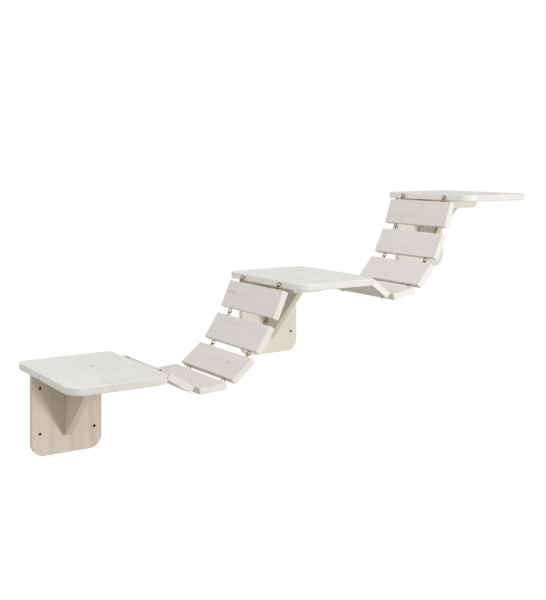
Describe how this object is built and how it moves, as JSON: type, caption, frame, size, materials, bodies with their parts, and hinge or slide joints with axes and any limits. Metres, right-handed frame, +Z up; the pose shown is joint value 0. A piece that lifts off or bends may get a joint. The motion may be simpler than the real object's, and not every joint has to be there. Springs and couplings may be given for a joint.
{
  "type": "wall-mounted cat ladder",
  "caption": "Wall-mounted cat climbing ladder: wooden shelves stepping up a wall on braced wall plates, joined by hanging ladders of wooden slats linked with brass screw eyes.",
  "frame": {"origin": "middle of the low wall plate's four holes, on the wall's face", "axes": "+X along the wall towards the top shelf, +Y into the wall, +Z up"},
  "size_m": [1.194, 0.3, 0.532],
  "materials": {
    "shelf_wood": "white wash, matt",
    "plate_wood": "thin white wash, matt",
    "slat_wood": "white wash, matt",
    "dowel_wood": "bare",
    "eye_brass": "brass plated",
    "screw_steel": "zinc plated"
  },
  "bodies": {
    "wall_set": {"shelf_low": "shelf_wood", "wall_plate_low": "plate_wood", "gusset_low": "plate_wood", "batten_low": "plate_wood", "dowels_low": "dowel_wood", "gusset_screws_low": "screw_steel", "batten_screws_low": "screw_steel", "shelf_mid": "shelf_wood", "wall_plate_mid": "plate_wood", "gusset_mid": "plate_wood", "batten_mid": "plate_wood", "dowels_mid": "dowel_wood", "gusset_screws_mid": "screw_steel", "batten_screws_mid": "screw_steel", "shelf_top": "shelf_wood", "wall_plate_top": "plate_wood", "gusset_top": "plate_wood", "batten_top": "plate_wood", "dowels_top": "dowel_wood", "gusset_screws_top": "screw_steel", "batten_screws_top": "screw_steel", "shelf_low_right_eyes": "eye_brass", "shelf_mid_left_eyes": "eye_brass", "shelf_mid_right_eyes": "eye_brass", "shelf_top_left_eyes": "eye_brass"},
    "lower_link_5": {"lower_slat_5": "slat_wood", "lower_eyes_5": "eye_brass"},
    "lower_link_4": {"lower_slat_4": "slat_wood", "lower_eyes_4": "eye_brass"},
    "lower_link_3": {"lower_slat_3": "slat_wood", "lower_eyes_3": "eye_brass"},
    "lower_link_2": {"lower_slat_2": "slat_wood", "lower_eyes_2": "eye_brass"},
    "lower_link_1": {"lower_slat_1": "slat_wood", "lower_eyes_1": "eye_brass"},
    "upper_link_5": {"upper_slat_5": "slat_wood", "upper_eyes_5": "eye_brass"},
    "upper_link_4": {"upper_slat_4": "slat_wood", "upper_eyes_4": "eye_brass"},
    "upper_link_3": {"upper_slat_3": "slat_wood", "upper_eyes_3": "eye_brass"},
    "upper_link_2": {"upper_slat_2": "slat_wood", "upper_eyes_2": "eye_brass"},
    "upper_link_1": {"upper_slat_1": "slat_wood", "upper_eyes_1": "eye_brass"}
  },
  "joints": [
    {"name": "lower_swing_5", "type": "hinge", "parent": "wall_set", "child": "lower_link_5", "pos_m": [0.39723, 0, 0.25126], "axis": [0, -1, 0], "range_deg": [-8.2, 8.2]},
    {"name": "lower_swing_4", "type": "hinge", "parent": "lower_link_5", "child": "lower_link_4", "pos_m": [0.36466, 0, 0.17808], "axis": [0, -1, 0], "range_deg": [-4.2, 4.2]},
    {"name": "lower_swing_3", "type": "hinge", "parent": "lower_link_4", "child": "lower_link_3", "pos_m": [0.32064, 0, 0.11116], "axis": [0, -1, 0], "range_deg": [-11.5, 11.5]},
    {"name": "lower_swing_2", "type": "hinge", "parent": "lower_link_3", "child": "lower_link_2", "pos_m": [0.25791, 0, 0.06135], "axis": [0, -1, 0], "range_deg": [-1.4, 1.4]},
    {"name": "lower_swing_1", "type": "hinge", "parent": "lower_link_2", "child": "lower_link_1", "pos_m": [0.17799, 0, 0.05597], "axis": [0, -1, 0], "range_deg": [-19.5, 19.5]},
    {"name": "upper_swing_5", "type": "hinge", "parent": "wall_set", "child": "upper_link_5", "pos_m": [0.8754, 0, 0.4282], "axis": [0, -1, 0], "range_deg": [-7.5, 7.5]},
    {"name": "upper_swing_4", "type": "hinge", "parent": "upper_link_5", "child": "upper_link_4", "pos_m": [0.85008, 0, 0.3522], "axis": [0, -1, 0], "range_deg": [-2.4, 2.4]},
    {"name": "upper_swing_3", "type": "hinge", "parent": "upper_link_4", "child": "upper_link_3", "pos_m": [0.81514, 0, 0.28013], "axis": [0, -1, 0], "range_deg": [-9.6, 9.6]},
    {"name": "upper_swing_2", "type": "hinge", "parent": "upper_link_3", "child": "upper_link_2", "pos_m": [0.76187, 0, 0.22031], "axis": [0, -1, 0], "range_deg": [-6.5, 6.5]},
    {"name": "upper_swing_1", "type": "hinge", "parent": "upper_link_2", "child": "upper_link_1", "pos_m": [0.68308, 0, 0.20585], "axis": [0, -1, 0], "range_deg": [-22.1, 22.1]}
  ],
  "couplings": [
    {"joint": "lower_swing_4", "follows": "lower_swing_5", "ratio": -0.499},
    {"joint": "lower_swing_3", "follows": "lower_swing_5", "ratio": -1.395},
    {"joint": "lower_swing_2", "follows": "lower_swing_5", "ratio": -0.158},
    {"joint": "lower_swing_1", "follows": "lower_swing_5", "ratio": 2.365},
    {"joint": "upper_swing_4", "follows": "upper_swing_5", "ratio": -0.311},
    {"joint": "upper_swing_3", "follows": "upper_swing_5", "ratio": -1.262},
    {"joint": "upper_swing_2", "follows": "upper_swing_5", "ratio": -0.854},
    {"joint": "upper_swing_1", "follows": "upper_swing_5", "ratio": 2.927}
  ]
}
